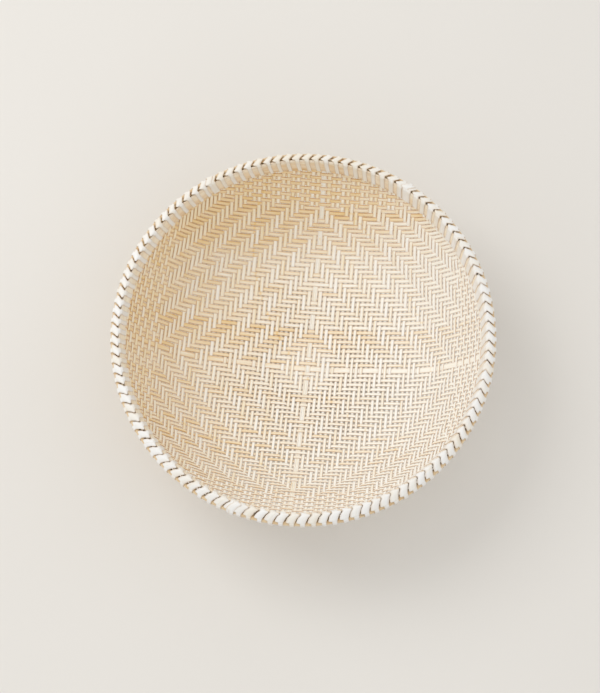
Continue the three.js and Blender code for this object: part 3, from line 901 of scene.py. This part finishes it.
def lashing_length(number, first, last, wraps):
    """One length of strip, its first wrap lying on the end of the length before."""
    left, right = wrap_edges(first, last, wraps)
    step = np.linalg.norm(np.diff((left + right)[:, :3] / 2, axis=0), axis=-1)
    parts = np.maximum(1, np.ceil(step / LONGEST_STEP)).astype(int)
    at = np.concatenate([k + np.arange(n) / n for k, n in enumerate(parts)] + [[len(left) - 1]])
    left, right = interp_rows(at, left), interp_rows(at, right)
    middle = (left + right) / 2

    run = np.gradient(middle[:, :2], axis=0)
    run /= np.maximum(np.linalg.norm(run, axis=-1, keepdims=True), TINY)
    section_across, section_up = LASHING_SECTION.T[:, None, :]
    share = (section_across + 1) / 2
    place = left[:, None, :] * share[..., None] + right[:, None, :] * (1 - share[..., None])
    rise = LASHING_BACK + left[:, 3:4] * share + right[:, 4:5] * (1 - share)
    rise = rise + section_up * LASHING_THICKNESS
    drop = place[..., 0] + run[:, 1:2] * rise
    out = place[..., 1] - run[:, 0:1] * rise
    stations = rim_point(place[..., 2] / RIM_RADIUS + FRONT, drop, out)

    length = running_length(middle[:, :3])
    along = (length * METRES + number * PLACE_PER_LENGTH)[:, None]
    sweep = Sweep()
    sweep.add(stations, along, section_across, middle[:, 5:6], number * SEED_PER_LENGTH)
    sweep.piece(f"lashing_length_{number}", LASHING_LOOK, "lashing_bamboo", LASHING_NODES)


def lashing():
    """All the wraps, as three lengths of strip that take over from each other."""
    wraps = {
        "shift": rng.normal(0, SHIFT_SPREAD, WRAPS).clip(-SHIFT_LIMIT, SHIFT_LIMIT),
        "lift": rng.uniform(0, MOST_LIFT, WRAPS),
        "width": rng.normal(0, WRAP_WIDTH_SPREAD, WRAPS).clip(-WRAP_WIDTH_LIMIT, WRAP_WIDTH_LIMIT),
        "tone": rng.beta(*WRAP_TONE_SHAPE, WRAPS),
    }
    joins = [round(share * WRAPS + WRAPS / 4) for share in LASHING_JOIN_SHARES]
    ends = joins + [joins[0] + WRAPS]
    for number, (first, last) in enumerate(zip(ends, ends[1:]), start=1):
        lashing_length(number, first, last, wraps)


weave()
hoops()
lashing()


# ---- floor, light and camera, in metres

FLOOR_REACH = 4.0
FLOOR_COLOURS = ("DEDAD4", "E6E3DE")
FLOOR_CLOUD_SCALE = 2.0
FLOOR_ROUGHNESS = 0.8
WORLD_COLOUR = (1.0, 0.995, 0.985, 1.0)
WORLD_STRENGTH = 0.835
LAMP_PLACE = (-1.15, 0.85, 1.85)
LAMP_AIM = (0, 0, 0.05)
LAMP_SIZE = 1.3
LAMP_POWER = 16.3
LAMP_COLOUR = (1.0, 1.0, 0.99)

# the photograph's view: from the front, rolled a little; the shift is in shares of its height
ELEVATION = radians(74.151)
ROLL = radians(-3.104)
DISTANCE = 1.3
AIM = (0, 0, 0.0607)
LENS = 85.06
SENSOR_WIDTH = 36.0
SHIFT_X, SHIFT_Y = -3.6 / 693, -1.9 / 693
NEAREST, FARTHEST = 0.05, 20.0


def floor():
    """A plain pale floor with faint clouds."""
    mesh = bpy.data.meshes.new("floor")
    signs = ((-1, -1), (1, -1), (1, 1), (-1, 1))
    corners = [(x * FLOOR_REACH, y * FLOOR_REACH, 0) for x, y in signs]
    mesh.from_pydata(corners, [], [(0, 1, 2, 3)])
    material, tree, shader = new_material("pale_floor")
    noise = tree.nodes.new("ShaderNodeTexNoise")
    place = tree.nodes.new("ShaderNodeTexCoord")
    ramp = tree.nodes.new("ShaderNodeValToRGB")
    noise.inputs["Scale"].default_value = FLOOR_CLOUD_SCALE
    for element, colour in zip(ramp.color_ramp.elements, FLOOR_COLOURS):
        element.color = srgb(colour)
    tree.links.new(place.outputs["Object"], noise.inputs["Vector"])
    tree.links.new(noise.outputs["Fac"], ramp.inputs["Fac"])
    tree.links.new(ramp.outputs["Color"], shader.inputs["Base Color"])
    shader.inputs["Roughness"].default_value = FLOOR_ROUGHNESS
    mesh.materials.append(material)
    add_object("floor", mesh)


def light():
    """An even world and one large soft lamp from the upper left."""
    world = bpy.data.worlds.new("studio")
    bpy.context.scene.world = world
    world.use_nodes = True
    background = world.node_tree.nodes["Background"]
    background.inputs["Color"].default_value = WORLD_COLOUR
    background.inputs["Strength"].default_value = WORLD_STRENGTH
    data = bpy.data.lights.new("key", "AREA")
    data.size = LAMP_SIZE
    data.energy = LAMP_POWER
    data.color = LAMP_COLOUR
    back = unit(np.array(LAMP_PLACE) - np.array(LAMP_AIM))
    right = unit(np.cross([0, 0, 1], back))
    set_pose(add_object("key", data), (right, np.cross(back, right), back), LAMP_PLACE)


def camera():
    """The camera, at the photograph's viewing angle."""
    back = np.array([0, -cos(ELEVATION), sin(ELEVATION)])
    right = np.array([1.0, 0, 0])
    up = np.cross(right, -back)
    c, s = cos(ROLL), sin(ROLL)
    data = bpy.data.cameras.new("view")
    data.lens = LENS
    data.sensor_width = SENSOR_WIDTH
    data.shift_x, data.shift_y = SHIFT_X, SHIFT_Y
    data.clip_start, data.clip_end = NEAREST, FARTHEST
    obj = add_object("view", data)
    set_pose(obj, (c * right + s * up, -s * right + c * up, back), np.array(AIM) + back * DISTANCE)
    bpy.context.scene.camera = obj


floor()
light()
camera()
bpy.context.scene.view_settings.view_transform = "Standard"
